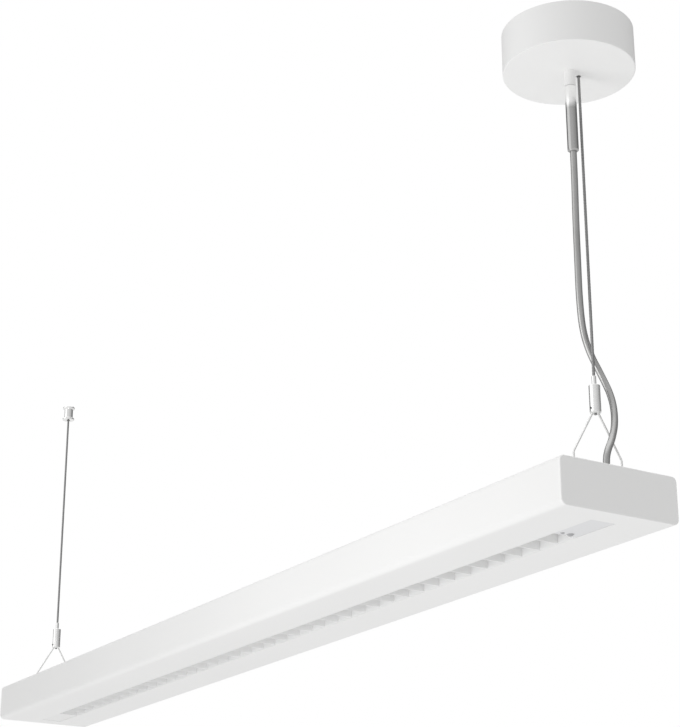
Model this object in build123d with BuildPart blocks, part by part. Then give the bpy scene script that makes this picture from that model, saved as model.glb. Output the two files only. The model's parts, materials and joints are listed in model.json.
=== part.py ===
"""Linear LED pendant light: a long white housing on two steel wires, with a round ceiling canopy.

Frame: X runs along the housing, Y across it, Z is up. The origin lies on the ceiling, above the
right-hand wire, at the middle of the ceiling bracket. Sizes are in millimetres.
"""

import os
from math import cos, pi, radians, sin, tan

from build123d import *

os.makedirs("parts", exist_ok=True)

# Clearances
fit_gap = 0.3  # between a piece and the opening that it drops into
run_gap = 0.1  # radial, between pieces that slide or turn in each other
thread_gap = 0.05  # radial, between a screw and its tapped hole

# Housing shell
housing_length = 1200.0
housing_width = 127.0
housing_height = 43.3
shell_wall = 1.6
bottom_radius = 6.0
top_radius = 5.0
lip_width = 12.0  # each top lip, measured from the outer side face
cap_thickness = 3.0
cap_edge_radius = 1.0
cap_spigot_depth = 5.0
cap_spigot_wall = 2.0
cap_screw_diameter = 2.4
cap_screw_head_diameter = 4.4
countersink_taper = 45.0  # degrees

# Light opening in the underside
slot_width = 26.4
slot_margin = 24.0  # from each end of the housing
sensor_plate_length = 51.5
blank_plate_least = 45.0
slot_recess = 0.4  # plates and louvre stand back from the underside by this
flange_overlap = 3.0
flange_thickness = 1.2
louvre_height = 13.0
louvre_side_wall = 0.9
louvre_blade = 1.2
cell_pitch = 26.2
led_size = 3.0
led_height = 0.8
board_count = 3
board_width = 22.0
board_thickness = 1.6
board_joint = 1.0
motion_lens_diameter = 6.5
light_lens_diameter = 4.0
lens_end_distance = 4.1  # lens centres from the louvre end of the sensor plate
motion_lens_y = 2.2
light_lens_y = -6.3
motion_lens_dome = 2.0
light_lens_dome = 1.0
module_length = 38.0
module_width = 20.0
module_height = 9.0
module_corner_radius = 1.5

# Gear tray, driver and terminals inside the housing
tray_side_gap = 0.5  # from the foot to the bend of the housing floor
tray_sheet = 1.0
tray_foot = 10.0
tray_end_gap = 8.0
stud_diameter = 4.0
stud_height = 5.0
stud_pair_count = 3
stud_end_distance = 60.0
nut_width = 7.0
nut_height = 3.0
driver_length = 300.0
driver_width = 30.0
driver_height = 20.0
driver_edge_radius = 1.5
driver_foot = 12.0
driver_foot_height = 2.0
driver_screw_diameter = 4.0
driver_screw_head = 7.0
driver_middle = 420.0  # middle of the driver from the right-hand end
block_length = 26.0
block_width = 18.0
block_height = 15.0
block_pole_pitch = 6.0
block_screw_diameter = 3.4
block_chamfer = 2.0
block_well_depth = 5.0
terminal_screw_height = 2.5
terminal_screw_slot = 0.8
block_end_distance = 58.0  # right-hand face of the housing block from the right-hand end
lead_diameter = 2.0
lead_pitch = 4.0
led_lead_drop = 9.0
led_lead_diameter = 1.6

# Top cover
cover_thickness = 1.2
cover_underlap = 5.5
cover_screw_diameter = 3.0
cover_screw_head = 5.6
cover_screw_head_height = 1.6
screw_head_taper = 20.0  # degrees
cover_screw_pair_count = 4
cover_screw_end_distance = 90.0

# Suspension
drop = 468.0  # ceiling to the underside of the housing
wire_inset = 27.0  # each wire from its end of the housing
wire_diameter = 2.6
wire_tail = 1.0  # wire end below the gripper
pivot_drop = 34.5  # ceiling to the swivel centres
swing_degrees = 3.0
swing_spare = 0.35  # room left beside a wire at the end of its swing
ball_diameter = 7.0
nipple_diameter = 4.0
nipple_length = 5.0

# Wire grippers
gripper_rise = 54.0  # underside of the gripper above the housing top
gripper_diameter = 10.0
gripper_length = 26.0
gripper_chamfer = 1.3
gripper_top_chamfer = 0.4
gripper_floor = 6.2
plunger_diameter = 4.0
plunger_rise = 8.7
plunger_chamfer = 0.4
plunger_guide = 6.0  # length of the plunger bore
collar_height = 1.1
collar_ledge = 0.35
clutch_cone_length = 7.0
clutch_chamber_diameter = 7.2
clutch_ball_diameter = 1.8
clutch_ball_gap = 0.15
clutch_ball_count = 3
spring_wire_diameter = 0.6
spring_turns = 4
spring_seat = 0.1  # gap under the first turn
lock_screw_diameter = 2.0
lock_screw_height = 4.5
lock_screw_proud = 0.7
lock_screw_socket = 1.0

# Wire bridles below the grippers
bridle_wire_diameter = 1.8
bridle_spacing = 52.8
bridle_root_offset = 3.6
bridle_root_depth = 1.5
bridle_kink_rise = 15.8  # kink above the housing top
bridle_kink_radius = 8.0
bridle_foot_rise = 3.0  # ball centre above the housing top
bridle_ball_diameter = 3.6
anchor_diameter = 9.0
anchor_crown = 4.0  # anchor top above the ball centre
anchor_stem_diameter = 5.0
anchor_stem_length = 7.0
anchor_nut_width = 8.0
anchor_nut_height = 3.5

# Ceiling bracket, canopy and the hangers
bracket_sheet = 2.0
bracket_width = 22.0
bracket_length = 108.0
bracket_web_length = 60.0
bracket_web_drop = 23.0
bracket_slot_length = 12.0
bracket_slot_width = 5.0
bracket_slot_spacing = 78.0
tab_length = 36.0
tab_width = 30.0
hanger_screw_diameter = 5.0
hanger_screw_head = 9.0
hanger_screw_head_height = 4.0
hanger_thread_depth = 4.0
right_hanger_diameter = 9.2
right_hanger_below_pivot = 4.5
stud_flange_diameter = 16.0
stud_waist_diameter = 11.6
stud_flange_height = 3.0
stud_flange_chamfer = 0.8
left_hanger_below_pivot = 10.8
left_hanger_above_pivot = 8.4
canopy_diameter = 122.0
canopy_height = 40.5
canopy_wall = 1.2
canopy_edge_radius = 1.0
canopy_y = -11.3
clip_width = 10.0
clip_sheet = 0.8
clip_drop = 14.0
clip_seat = 8.0

# Power cord, its ceiling gland and its inlet
cord_diameter = 6.1
cord_bend_radius = 8.0
cord_gap = 0.2
gland_x = 2.5
gland_y = -12.7
gland_diameter = 10.4
gland_length = 15.5
gland_stem_diameter = 8.4
gland_nut_diameter = 12.4
gland_nut_height = 4.0
seal_diameter = 9.6
seal_thickness = 0.6
sleeve_diameter = 10.2
sleeve_length = 66.0
sleeve_chamfer = 1.4
canopy_block_y = -24.0
canopy_block_z = -30.0
inlet_x = 11.0
inlet_y = -0.3
inlet_flange_diameter = 13.0
inlet_height = 2.0
inlet_taper = 15.0  # degrees
inlet_stem_diameter = 9.0
inlet_stem_length = 7.0
inlet_nut_width = 12.5
inlet_nut_height = 3.0
inner_cord_drop = 13.0

# Route of the free cord, from the sleeve to the inlet on the housing
cord_route = [
    (2.5, -12.7, -122.6),
    (2.5, -12.7, -148.0),
    (2.0, -13.3, -192.0),
    (0.2, -11.9, -230.0),
    (-4.5, -8.3, -262.0),
    (-9.1, -2.5, -291.0),
    (-8.9, 4.7, -312.0),
    (-4.3, 12.0, -331.0),
    (2.7, 17.4, -354.0),
    (7.6, 15.1, -377.0),
    (9.8, 8.8, -394.6),
    (10.8, 2.0, -406.6),
    (11.0, -0.3, -415.4),
    (11.0, -0.3, -424.3),
]

# Places that follow from the sizes above
right_end = wire_inset
left_end = right_end - housing_length
middle_x = (right_end + left_end) / 2
left_wire_x = left_end + wire_inset
underside = -drop
housing_top = underside + housing_height
floor_z = underside + shell_wall
lip_underside = housing_top - shell_wall
cover_top = lip_underside
cover_bottom = cover_top - cover_thickness
pivot_z = -pivot_drop
slot_right = right_end - slot_margin
slot_left = left_end + slot_margin
slot_length = slot_right - slot_left
cell_count = int((slot_length - sensor_plate_length - blank_plate_least) // cell_pitch)
louvre_right = slot_right - sensor_plate_length
louvre_left = louvre_right - cell_count * cell_pitch
insert_width = slot_width - 2 * fit_gap
insert_bottom = underside + slot_recess
louvre_top = insert_bottom + louvre_height
board_top = louvre_top + board_thickness
tray_top = board_top + tray_sheet
tray_width = housing_width - 2 * (bottom_radius + tray_side_gap + tray_foot)
wire_radius = wire_diameter / 2
gripper_bottom = housing_top + gripper_rise
gripper_top = gripper_bottom + gripper_length
foot_z = housing_top + bridle_foot_rise
kink_z = housing_top + bridle_kink_rise
swing_tangent = tan(radians(swing_degrees))
canopy_floor = -canopy_height
wire_sides = {"right": 0.0, "left": left_wire_x}
inlet_place = (inlet_x, inlet_y)


def write_part(piece, label):
    """Name a finished piece and write its file."""
    piece.part.label = label
    export_step(piece.part, f"parts/{label}.step")


def section_face(width, height, low_radius, high_radius):
    """Rectangle about the origin, with one radius on its low corners and one on its high corners."""
    with BuildSketch() as outline:
        Rectangle(width, height)
        fillet(outline.vertices().group_by(Axis.Y)[0], low_radius)
        fillet(outline.vertices().group_by(Axis.Y)[-1], high_radius)
    return outline.sketch


def housing_face(inset):
    """Section of the housing, drawn in on all sides by a distance."""
    return section_face(
        housing_width - 2 * inset,
        housing_height - 2 * inset,
        bottom_radius - inset,
        top_radius - inset,
    )


def spaced(first, last, count):
    """Evenly spaced values from the first to the last."""
    return [first + (last - first) * step / (count - 1) for step in range(count)]


housing_middle = (0, underside + housing_height / 2)

# Housing shell: floor with its slot, two sides and the top lips, with weld studs on the floor
shell_right = right_end - cap_thickness
shell_left = left_end + cap_thickness
shell_length = shell_right - shell_left
tray_right = shell_right - cap_spigot_depth - tray_end_gap
tray_left = shell_left + cap_spigot_depth + tray_end_gap
stud_y = tray_width / 2 + tray_foot / 2
stud_places = [
    (x, y)
    for x in spaced(tray_right - stud_end_distance, tray_left + stud_end_distance, stud_pair_count)
    for y in (-stud_y, stud_y)
]
cap_screw_y = housing_width / 2 - (lip_width + top_radius) / 2
cap_screw_head_height = (cap_screw_head_diameter - cap_screw_diameter) / 2 / tan(radians(countersink_taper))
cap_screw_places = [
    (x, y)
    for x in (shell_right - cap_spigot_depth / 2, shell_left + cap_spigot_depth / 2)
    for y in (-cap_screw_y, cap_screw_y)
]
cover_half_width = housing_width / 2 - lip_width + cover_underlap
cover_screw_y = housing_width / 2 - lip_width + cover_underlap / 2
cover_screw_places = [
    (x, y)
    for x in spaced(
        shell_right - cover_screw_end_distance,
        shell_left + cover_screw_end_distance,
        cover_screw_pair_count,
    )
    for y in (-cover_screw_y, cover_screw_y)
]
with BuildPart() as housing_shell:
    with BuildSketch(Plane.YZ.offset(shell_left)):
        with Locations(housing_middle):
            add(housing_face(0))
            add(housing_face(shell_wall), mode=Mode.SUBTRACT)
        with Locations((0, housing_top)):
            Rectangle(housing_width - 2 * lip_width, 3 * shell_wall, mode=Mode.SUBTRACT)
    extrude(amount=shell_length)
    with BuildSketch(Plane.XY.offset(underside)):
        with Locations(((slot_right + slot_left) / 2, 0)):
            Rectangle(slot_length, slot_width)
    extrude(amount=shell_wall, mode=Mode.SUBTRACT)
    with BuildSketch(Plane.XY.offset(floor_z)):
        with Locations(*stud_places):
            Circle(stud_diameter / 2)
    extrude(amount=stud_height)
    with BuildSketch(Plane.XY.offset(housing_top)):
        with Locations(*cap_screw_places):
            Circle(cap_screw_diameter / 2 + thread_gap)
        with Locations(*cover_screw_places):
            Circle(cover_screw_diameter / 2 + thread_gap)
    extrude(amount=-shell_wall, mode=Mode.SUBTRACT)
    with BuildSketch(Plane.XY.offset(housing_top)):
        with Locations(*cap_screw_places):
            Circle(cap_screw_head_diameter / 2 + thread_gap)
    extrude(amount=-cap_screw_head_height, taper=countersink_taper, mode=Mode.SUBTRACT)
write_part(housing_shell, "housing_shell")


# End caps: a plate with the outline of the shell and a spigot that fits inside it
def make_end_cap(label, outer_x, outward):
    """End cap whose outer face lies at outer_x and faces outward, +1 or -1 along X."""
    spigot_inset = shell_wall + fit_gap
    screw_places = [place for place in cap_screw_places if (place[0] - middle_x) * outward > 0]
    with BuildPart() as cap:
        with BuildSketch(Plane.YZ.offset(outer_x)):
            with Locations(housing_middle):
                add(housing_face(0))
        extrude(amount=-outward * cap_thickness)
        fillet(cap.faces().sort_by(Axis.X)[-1 if outward > 0 else 0].edges(), cap_edge_radius)
        with BuildSketch(Plane.YZ.offset(outer_x - outward * cap_thickness)):
            with Locations(housing_middle):
                add(housing_face(spigot_inset))
                add(housing_face(spigot_inset + cap_spigot_wall), mode=Mode.SUBTRACT)
        extrude(amount=-outward * cap_spigot_depth)
        with BuildSketch(Plane.XY.offset(housing_top)):
            with Locations(*screw_places):
                Circle(cap_screw_diameter / 2 + thread_gap)
        extrude(amount=-(spigot_inset + cap_spigot_wall), mode=Mode.SUBTRACT)
    write_part(cap, label)


make_end_cap("right_end_cap", right_end, 1)
make_end_cap("left_end_cap", left_end, -1)


def make_screws(label, places, seat_z, diameter, length, head_diameter, head_height):
    """Pan-head screws that stand on a face at seat_z and reach down by their length."""
    with BuildPart() as screws:
        for x, y in places:
            with BuildSketch(Plane.XY.offset(seat_z)):
                with Locations((x, y)):
                    Circle(head_diameter / 2)
            extrude(amount=head_height, taper=screw_head_taper)
            with BuildSketch(Plane.XY.offset(seat_z)):
                with Locations((x, y)):
                    Circle(diameter / 2)
            extrude(amount=-length)
    write_part(screws, label)


# End-cap screws: countersunk, flush with the top lips
with BuildPart() as end_cap_screws:
    for x, y in cap_screw_places:
        with BuildSketch(Plane.XY.offset(housing_top)):
            with Locations((x, y)):
                Circle(cap_screw_head_diameter / 2)
        extrude(amount=-cap_screw_head_height, taper=countersink_taper)
        with BuildSketch(Plane.XY.offset(housing_top)):
            with Locations((x, y)):
                Circle(cap_screw_diameter / 2)
        extrude(amount=-(shell_wall + fit_gap + cap_spigot_wall))
write_part(end_cap_screws, "end_cap_screws")


# Top cover: a plate that lies under the lips, with holes for the anchors and the cord inlet
cover_right = shell_right - cap_spigot_depth - fit_gap
cover_left = shell_left + cap_spigot_depth + fit_gap
anchor_y = bridle_spacing / 2
anchor_places = [(x, y) for x in wire_sides.values() for y in (-anchor_y, anchor_y)]
with BuildPart() as top_cover:
    with BuildSketch(Plane.XY.offset(cover_bottom)):
        with Locations(((cover_right + cover_left) / 2, 0)):
            Rectangle(cover_right - cover_left, 2 * cover_half_width)
        with Locations(inlet_place):
            Circle(inlet_stem_diameter / 2 + thread_gap, mode=Mode.SUBTRACT)
        with Locations(*anchor_places):
            Circle(anchor_stem_diameter / 2 + thread_gap, mode=Mode.SUBTRACT)
        with Locations(*cover_screw_places):
            Circle(cover_screw_diameter / 2 + thread_gap, mode=Mode.SUBTRACT)
    extrude(amount=cover_thickness)
write_part(top_cover, "top_cover")

make_screws(
    "cover_screws",
    cover_screw_places,
    housing_top,
    cover_screw_diameter,
    shell_wall + cover_thickness,
    cover_screw_head,
    cover_screw_head_height,
)

# Gear tray: a hat-shaped sheet that stands on the housing floor over the louvre
with BuildPart() as gear_tray:
    with BuildSketch(Plane.YZ.offset(tray_left)):
        with BuildLine():
            Polyline(
                (0, tray_top),
                (tray_width / 2, tray_top),
                (tray_width / 2, floor_z + tray_sheet),
                (tray_width / 2 + tray_foot, floor_z + tray_sheet),
                (tray_width / 2 + tray_foot, floor_z),
                (tray_width / 2 - tray_sheet, floor_z),
                (tray_width / 2 - tray_sheet, tray_top - tray_sheet),
                (0, tray_top - tray_sheet),
            )
            mirror(about=Plane.YZ)
        make_face()
    extrude(amount=tray_right - tray_left)
    with BuildSketch(Plane.XY.offset(floor_z)):
        with Locations(*stud_places):
            Circle(stud_diameter / 2 + thread_gap)
    extrude(amount=tray_sheet, mode=Mode.SUBTRACT)
    with BuildSketch(Plane.XY.offset(tray_top)):
        with Locations(
            (right_end - driver_middle - driver_length / 2 - led_lead_drop, -driver_width / 4),
        ):
            Circle(led_lead_diameter / 2 + fit_gap)
        with Locations(
            (right_end - driver_middle + driver_length / 2 + driver_foot / 2, 0),
            (right_end - driver_middle - driver_length / 2 - driver_foot / 2, driver_width / 4),
        ):
            Circle(driver_screw_diameter / 2 + thread_gap)
    extrude(amount=-tray_sheet, mode=Mode.SUBTRACT)
write_part(gear_tray, "gear_tray")

with BuildPart() as tray_nuts:
    with BuildSketch(Plane.XY.offset(floor_z + tray_sheet)):
        with Locations(*stud_places):
            RegularPolygon(nut_width / 2, 6, major_radius=False)
            Circle(stud_diameter / 2 + thread_gap, mode=Mode.SUBTRACT)
    extrude(amount=nut_height)
write_part(tray_nuts, "tray_nuts")

# Louvre: an egg-crate strip that fills the slot between the two plates
cell_edges = [louvre_right - cell_pitch * step for step in range(cell_count + 1)]
cells = list(zip(cell_edges[:-1], cell_edges[1:]))
cell_width = insert_width - 2 * louvre_side_wall
with BuildPart() as louvre:
    with BuildSketch(Plane.XY.offset(insert_bottom)):
        with Locations(((louvre_right + louvre_left) / 2, 0)):
            Rectangle(louvre_right - louvre_left - fit_gap, insert_width)
    extrude(amount=louvre_height)
    with BuildSketch(Plane.XY.offset(floor_z)):
        with Locations(((louvre_right + louvre_left) / 2, 0)):
            Rectangle(louvre_right - louvre_left - fit_gap, slot_width + 2 * flange_overlap)
    extrude(amount=flange_thickness)
    with BuildSketch(Plane.XY.offset(insert_bottom)):
        for right, left in cells:
            with Locations(((right + left) / 2, 0)):
                Rectangle(right - left - louvre_blade, cell_width)
    extrude(amount=louvre_height, mode=Mode.SUBTRACT)
write_part(louvre, "louvre")

# LED boards under the tray, with one LED over the middle of each cell
board_step = (louvre_right - louvre_left) / board_count
with BuildPart() as led_boards:
    with BuildSketch(Plane.XY.offset(louvre_top)):
        for index in range(board_count):
            with Locations((louvre_right - board_step * (index + 0.5), 0)):
                Rectangle(board_step - board_joint, board_width)
    extrude(amount=board_thickness)
write_part(led_boards, "led_boards")

with BuildPart() as led_chips:
    with BuildSketch(Plane.XY.offset(louvre_top)):
        for right, left in cells:
            with Locations(((right + left) / 2, 0)):
                Rectangle(led_size, led_size)
    extrude(amount=-led_height)
write_part(led_chips, "led_chips")


# Plates that close the slot beside the louvre
lens_x = louvre_right + lens_end_distance
lenses = {
    "motion_sensor_lens": (motion_lens_y, motion_lens_diameter, motion_lens_dome),
    "light_sensor_lens": (light_lens_y, light_lens_diameter, light_lens_dome),
}


def make_slot_plate(label, right, left, lens_holes):
    """Flanged plate that drops into the slot from inside, with a hole for each lens."""
    with BuildPart() as plate:
        with BuildSketch(Plane.XY.offset(insert_bottom)):
            with Locations(((right + left) / 2, 0)):
                Rectangle(right - left - fit_gap, insert_width)
        extrude(amount=shell_wall - slot_recess)
        with BuildSketch(Plane.XY.offset(floor_z)):
            with Locations(((right + left) / 2, 0)):
                Rectangle(right - left - fit_gap, slot_width + 2 * flange_overlap)
        extrude(amount=flange_thickness)
        for hole_y, hole_diameter, _ in lens_holes:
            with Locations((lens_x, hole_y, floor_z)):
                Cylinder(
                    hole_diameter / 2 + run_gap,
                    3 * (shell_wall + flange_thickness),
                    mode=Mode.SUBTRACT,
                )
    write_part(plate, label)


make_slot_plate("sensor_plate", slot_right, louvre_right, lenses.values())
make_slot_plate("blank_plate", louvre_left, slot_left, [])

plate_back = floor_z + flange_thickness
for label, (lens_y, lens_diameter, lens_dome) in lenses.items():
    lens_radius = lens_diameter / 2
    dome_radius = (lens_radius**2 + lens_dome**2) / (2 * lens_dome)
    with BuildPart() as lens:
        with BuildSketch(Plane.XY.offset(plate_back)):
            with Locations((lens_x, lens_y)):
                Circle(lens_radius)
        extrude(amount=insert_bottom - lens_dome - plate_back)
        with Locations((lens_x, lens_y, insert_bottom - lens_dome + dome_radius)):
            Sphere(dome_radius, mode=Mode.INTERSECT)
    write_part(lens, label)

with BuildPart() as sensor_module:
    with BuildSketch(Plane.XY.offset(plate_back)):
        with Locations((louvre_right + fit_gap + module_length / 2, 0)):
            Rectangle(module_length, module_width)
    extrude(amount=module_height)
    fillet(sensor_module.edges().filter_by(Axis.Z), module_corner_radius)
write_part(sensor_module, "sensor_module")

# LED driver: a box with a screw foot at each end
driver_x = right_end - driver_middle
with BuildPart() as led_driver:
    with BuildSketch(Plane.XY.offset(tray_top)):
        with Locations((driver_x, 0)):
            Rectangle(driver_length, driver_width)
    extrude(amount=driver_height)
    fillet(led_driver.edges().filter_by(Axis.X).group_by(Axis.Z)[-1], driver_edge_radius)
    with BuildSketch(Plane.XY.offset(tray_top)):
        with Locations((driver_x + driver_length / 2 + driver_foot / 2, 0)):
            Rectangle(driver_foot, driver_width / 2)
        with Locations((driver_x - driver_length / 2 - driver_foot / 2, driver_width / 4)):
            Rectangle(driver_foot, driver_width / 2)
        with Locations((driver_x + driver_length / 2 + driver_foot / 2, 0)):
            Circle(driver_screw_diameter / 2 + thread_gap, mode=Mode.SUBTRACT)
        with Locations((driver_x - driver_length / 2 - driver_foot / 2, driver_width / 4)):
            Circle(driver_screw_diameter / 2 + thread_gap, mode=Mode.SUBTRACT)
    extrude(amount=driver_foot_height)
write_part(led_driver, "led_driver")

make_screws(
    "driver_screws",
    [
        (driver_x + driver_length / 2 + driver_foot / 2, 0),
        (driver_x - driver_length / 2 - driver_foot / 2, driver_width / 4),
    ],
    tray_top + driver_foot_height,
    driver_screw_diameter,
    driver_foot_height + tray_sheet,
    driver_screw_head,
    cover_screw_head_height,
)


# Terminal blocks: a box with a row of screw wells in one face
def well_places(centre):
    """Middles of the screw wells across a terminal block."""
    return [centre + step * block_pole_pitch for step in (-1, 0, 1)]


block_right = right_end - block_end_distance
with BuildPart() as housing_terminal_block:
    with BuildSketch(Plane.XY.offset(tray_top)):
        with Locations((block_right - block_length / 2, 0)):
            Rectangle(block_length, block_width)
    extrude(amount=block_height)
    chamfer(housing_terminal_block.edges().filter_by(Axis.Y).group_by(Axis.Z)[-1], block_chamfer)
    with BuildSketch(Plane.XY.offset(tray_top + block_height)):
        for pole_y in well_places(0):
            with Locations((block_right - block_length / 2, pole_y)):
                Circle(block_screw_diameter / 2)
    extrude(amount=-block_well_depth, mode=Mode.SUBTRACT)
write_part(housing_terminal_block, "housing_terminal_block")

housing_well_floor = tray_top + block_height - block_well_depth
with BuildPart() as housing_terminal_screws:
    for pole_y in well_places(0):
        with BuildSketch(Plane.XY.offset(housing_well_floor)):
            with Locations((block_right - block_length / 2, pole_y)):
                Circle(block_screw_diameter / 2 - run_gap)
        extrude(amount=terminal_screw_height)
        with BuildSketch(Plane.XY.offset(housing_well_floor + terminal_screw_height)):
            with Locations((block_right - block_length / 2, pole_y)):
                Rectangle(block_screw_diameter, terminal_screw_slot)
        extrude(amount=-terminal_screw_slot, mode=Mode.SUBTRACT)
write_part(housing_terminal_screws, "housing_terminal_screws")

# Leads on the tray: three from the block to the driver, one pair down to the boards
lead_z = tray_top + driver_height / 3
lead_right = block_right - block_length
lead_left = driver_x + driver_length / 2
with BuildPart() as supply_leads:
    with BuildSketch(Plane.YZ.offset(lead_left)):
        with Locations(*[(step * lead_pitch, lead_z) for step in (-1, 0, 1)]):
            Circle(lead_diameter / 2)
    extrude(amount=lead_right - lead_left)
write_part(supply_leads, "supply_leads")

led_lead_x = driver_x - driver_length / 2 - led_lead_drop
with BuildPart() as led_lead:
    with BuildLine() as led_lead_path:
        FilletPolyline(
            (driver_x - driver_length / 2, -driver_width / 4, lead_z),
            (led_lead_x, -driver_width / 4, lead_z),
            (led_lead_x, -driver_width / 4, board_top),
            radius=2 * led_lead_diameter,
        )
    with BuildSketch(Plane(origin=led_lead_path.line @ 0, z_dir=led_lead_path.line % 0)):
        Circle(led_lead_diameter / 2)
    sweep()
write_part(led_lead, "led_lead")


# Cord inlet in the top cover
def make_ring(label, centre, bottom_z, height, outer_radius, bore_radius):
    """Plain ring about a vertical axis."""
    with BuildPart() as ring:
        with BuildSketch(Plane.XY.offset(bottom_z)):
            with Locations(centre):
                Circle(outer_radius)
                Circle(bore_radius, mode=Mode.SUBTRACT)
        extrude(amount=height)
    write_part(ring, label)


def make_hex_nut(label, places, bottom_z, height, width, bore_radius):
    """Hexagon nuts about vertical axes."""
    with BuildPart() as nuts:
        with BuildSketch(Plane.XY.offset(bottom_z)):
            with Locations(*places):
                RegularPolygon(width / 2, 6, major_radius=False)
                Circle(bore_radius, mode=Mode.SUBTRACT)
        extrude(amount=height)
    write_part(nuts, label)


cord_bore = cord_diameter / 2 + cord_gap
with BuildPart() as inlet_gland:
    with BuildSketch(Plane.XY.offset(cover_top)):
        with Locations(inlet_place):
            Circle(inlet_flange_diameter / 2)
    extrude(amount=inlet_height, taper=inlet_taper)
    with BuildSketch(Plane.XY.offset(cover_top)):
        with Locations(inlet_place):
            Circle(inlet_stem_diameter / 2)
    extrude(amount=-inlet_stem_length)
    with Locations((inlet_x, inlet_y, cover_top)):
        Cylinder(cord_bore, 4 * inlet_stem_length, mode=Mode.SUBTRACT)
write_part(inlet_gland, "inlet_gland")

make_hex_nut(
    "inlet_nut",
    [inlet_place],
    cover_bottom - inlet_nut_height,
    inlet_nut_height,
    inlet_nut_width,
    inlet_stem_diameter / 2 + thread_gap,
)


def make_cord(label, path_points, radius):
    """Cord piece along straight runs with one bend radius."""
    with BuildPart() as cord:
        with BuildLine() as path:
            FilletPolyline(*path_points, radius=radius)
        with BuildSketch(Plane(origin=path.line @ 0, z_dir=path.line % 0)):
            Circle(cord_diameter / 2)
        sweep()
    write_part(cord, label)


inlet_top = cover_top + inlet_height
inner_cord_z = cover_bottom - inner_cord_drop
make_cord(
    "housing_cord_tail",
    [
        (inlet_x, inlet_y, inlet_top),
        (inlet_x, inlet_y, inner_cord_z),
        (block_right, inlet_y, inner_cord_z),
    ],
    cord_bend_radius,
)

# Bridle anchors on the top cover: a socket for the ball, slotted for the wire
anchor_top = foot_z + anchor_crown
socket_radius = bridle_ball_diameter / 2 + fit_gap
mouth_half = bridle_wire_diameter / 2 + anchor_crown * swing_tangent + swing_spare
mouth_width = bridle_wire_diameter + 2 * fit_gap
for side, wire_x in wire_sides.items():
    with BuildPart() as bridle_anchors:
        for anchor_sign in (-1, 1):
            foot_y = anchor_sign * anchor_y
            with BuildSketch(Plane.XY.offset(cover_top)):
                with Locations((wire_x, foot_y)):
                    Circle(anchor_diameter / 2)
            extrude(amount=anchor_top - cover_top)
            with BuildSketch(Plane.XY.offset(cover_top)):
                with Locations((wire_x, foot_y)):
                    Circle(anchor_stem_diameter / 2)
            extrude(amount=-anchor_stem_length)
            with Locations((wire_x, foot_y, foot_z)):
                Sphere(socket_radius, mode=Mode.SUBTRACT)
            with BuildSketch(Plane.XY.offset(foot_z)):
                with Locations((wire_x, foot_y)):
                    Rectangle(2 * mouth_half, mouth_width)
            extrude(amount=anchor_crown, mode=Mode.SUBTRACT)
    write_part(bridle_anchors, f"{side}_bridle_anchors")

make_hex_nut(
    "anchor_nuts",
    anchor_places,
    cover_bottom - anchor_nut_height,
    anchor_nut_height,
    anchor_nut_width,
    anchor_stem_diameter / 2 + thread_gap,
)

# Suspension wires: each hangs by a cross nipple in its swivel ball and ends below its gripper
wire_end = gripper_bottom - wire_tail
ball_radius = ball_diameter / 2
nipple_radius = nipple_diameter / 2
slot_half_x = wire_radius + ball_radius * swing_tangent + swing_spare
for side, wire_x in wire_sides.items():
    with BuildPart() as suspension_wire:
        with BuildSketch(Plane.XY.offset(pivot_z)):
            with Locations((wire_x, 0)):
                Circle(wire_radius)
        extrude(amount=wire_end - pivot_z)
        with BuildSketch(Plane.XZ):
            with Locations((wire_x, pivot_z)):
                Circle(nipple_radius)
        extrude(amount=nipple_length / 2, both=True)
    write_part(suspension_wire, f"{side}_suspension_wire")

    with BuildPart() as swivel_ball:
        with Locations((wire_x, 0, pivot_z)):
            Sphere(ball_radius)
        with BuildSketch(Plane.XZ):
            with Locations((wire_x, pivot_z)):
                Circle(nipple_radius + run_gap)
        extrude(amount=ball_diameter, both=True, mode=Mode.SUBTRACT)
        with BuildSketch(Plane.XY.offset(pivot_z)):
            with Locations((wire_x, 0)):
                Rectangle(2 * slot_half_x, wire_diameter + 2 * fit_gap)
        extrude(amount=-ball_diameter, mode=Mode.SUBTRACT)
    write_part(swivel_ball, f"{side}_swivel_ball")

# Grippers, release plungers, clutch balls and springs, lock screws and bridles
gripper_radius = gripper_diameter / 2
plunger_radius = plunger_diameter / 2
wire_bore = wire_radius + run_gap
plunger_bore = plunger_radius + run_gap
collar_radius = plunger_radius + collar_ledge
cone_top_radius = collar_radius + clutch_ball_gap
chamber_radius = clutch_chamber_diameter / 2
guide_bottom = gripper_top - plunger_guide
cone_bottom = guide_bottom - clutch_cone_length
chamber_bottom = gripper_bottom + gripper_floor
clutch_ball_radius = clutch_ball_diameter / 2
clutch_ring_radius = wire_radius + clutch_ball_gap + clutch_ball_radius
cone_share = (clutch_ring_radius + clutch_ball_radius + clutch_ball_gap - cone_top_radius) / (
    chamber_radius - cone_top_radius
)
clutch_z = guide_bottom - clutch_cone_length * cone_share
lock_screw_z = gripper_bottom + lock_screw_height
spring_radius = chamber_radius - clutch_ball_gap - spring_wire_diameter / 2
spring_bottom = chamber_bottom + spring_wire_diameter / 2 + spring_seat
spring_top = clutch_z - clutch_ball_radius - clutch_ball_gap - spring_wire_diameter / 2
spring_height = spring_top - spring_bottom
bridle_lean = (anchor_y - bridle_root_offset) / (gripper_bottom - kink_z)
bridle_root_y = bridle_root_offset - bridle_root_depth * bridle_lean
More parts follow.
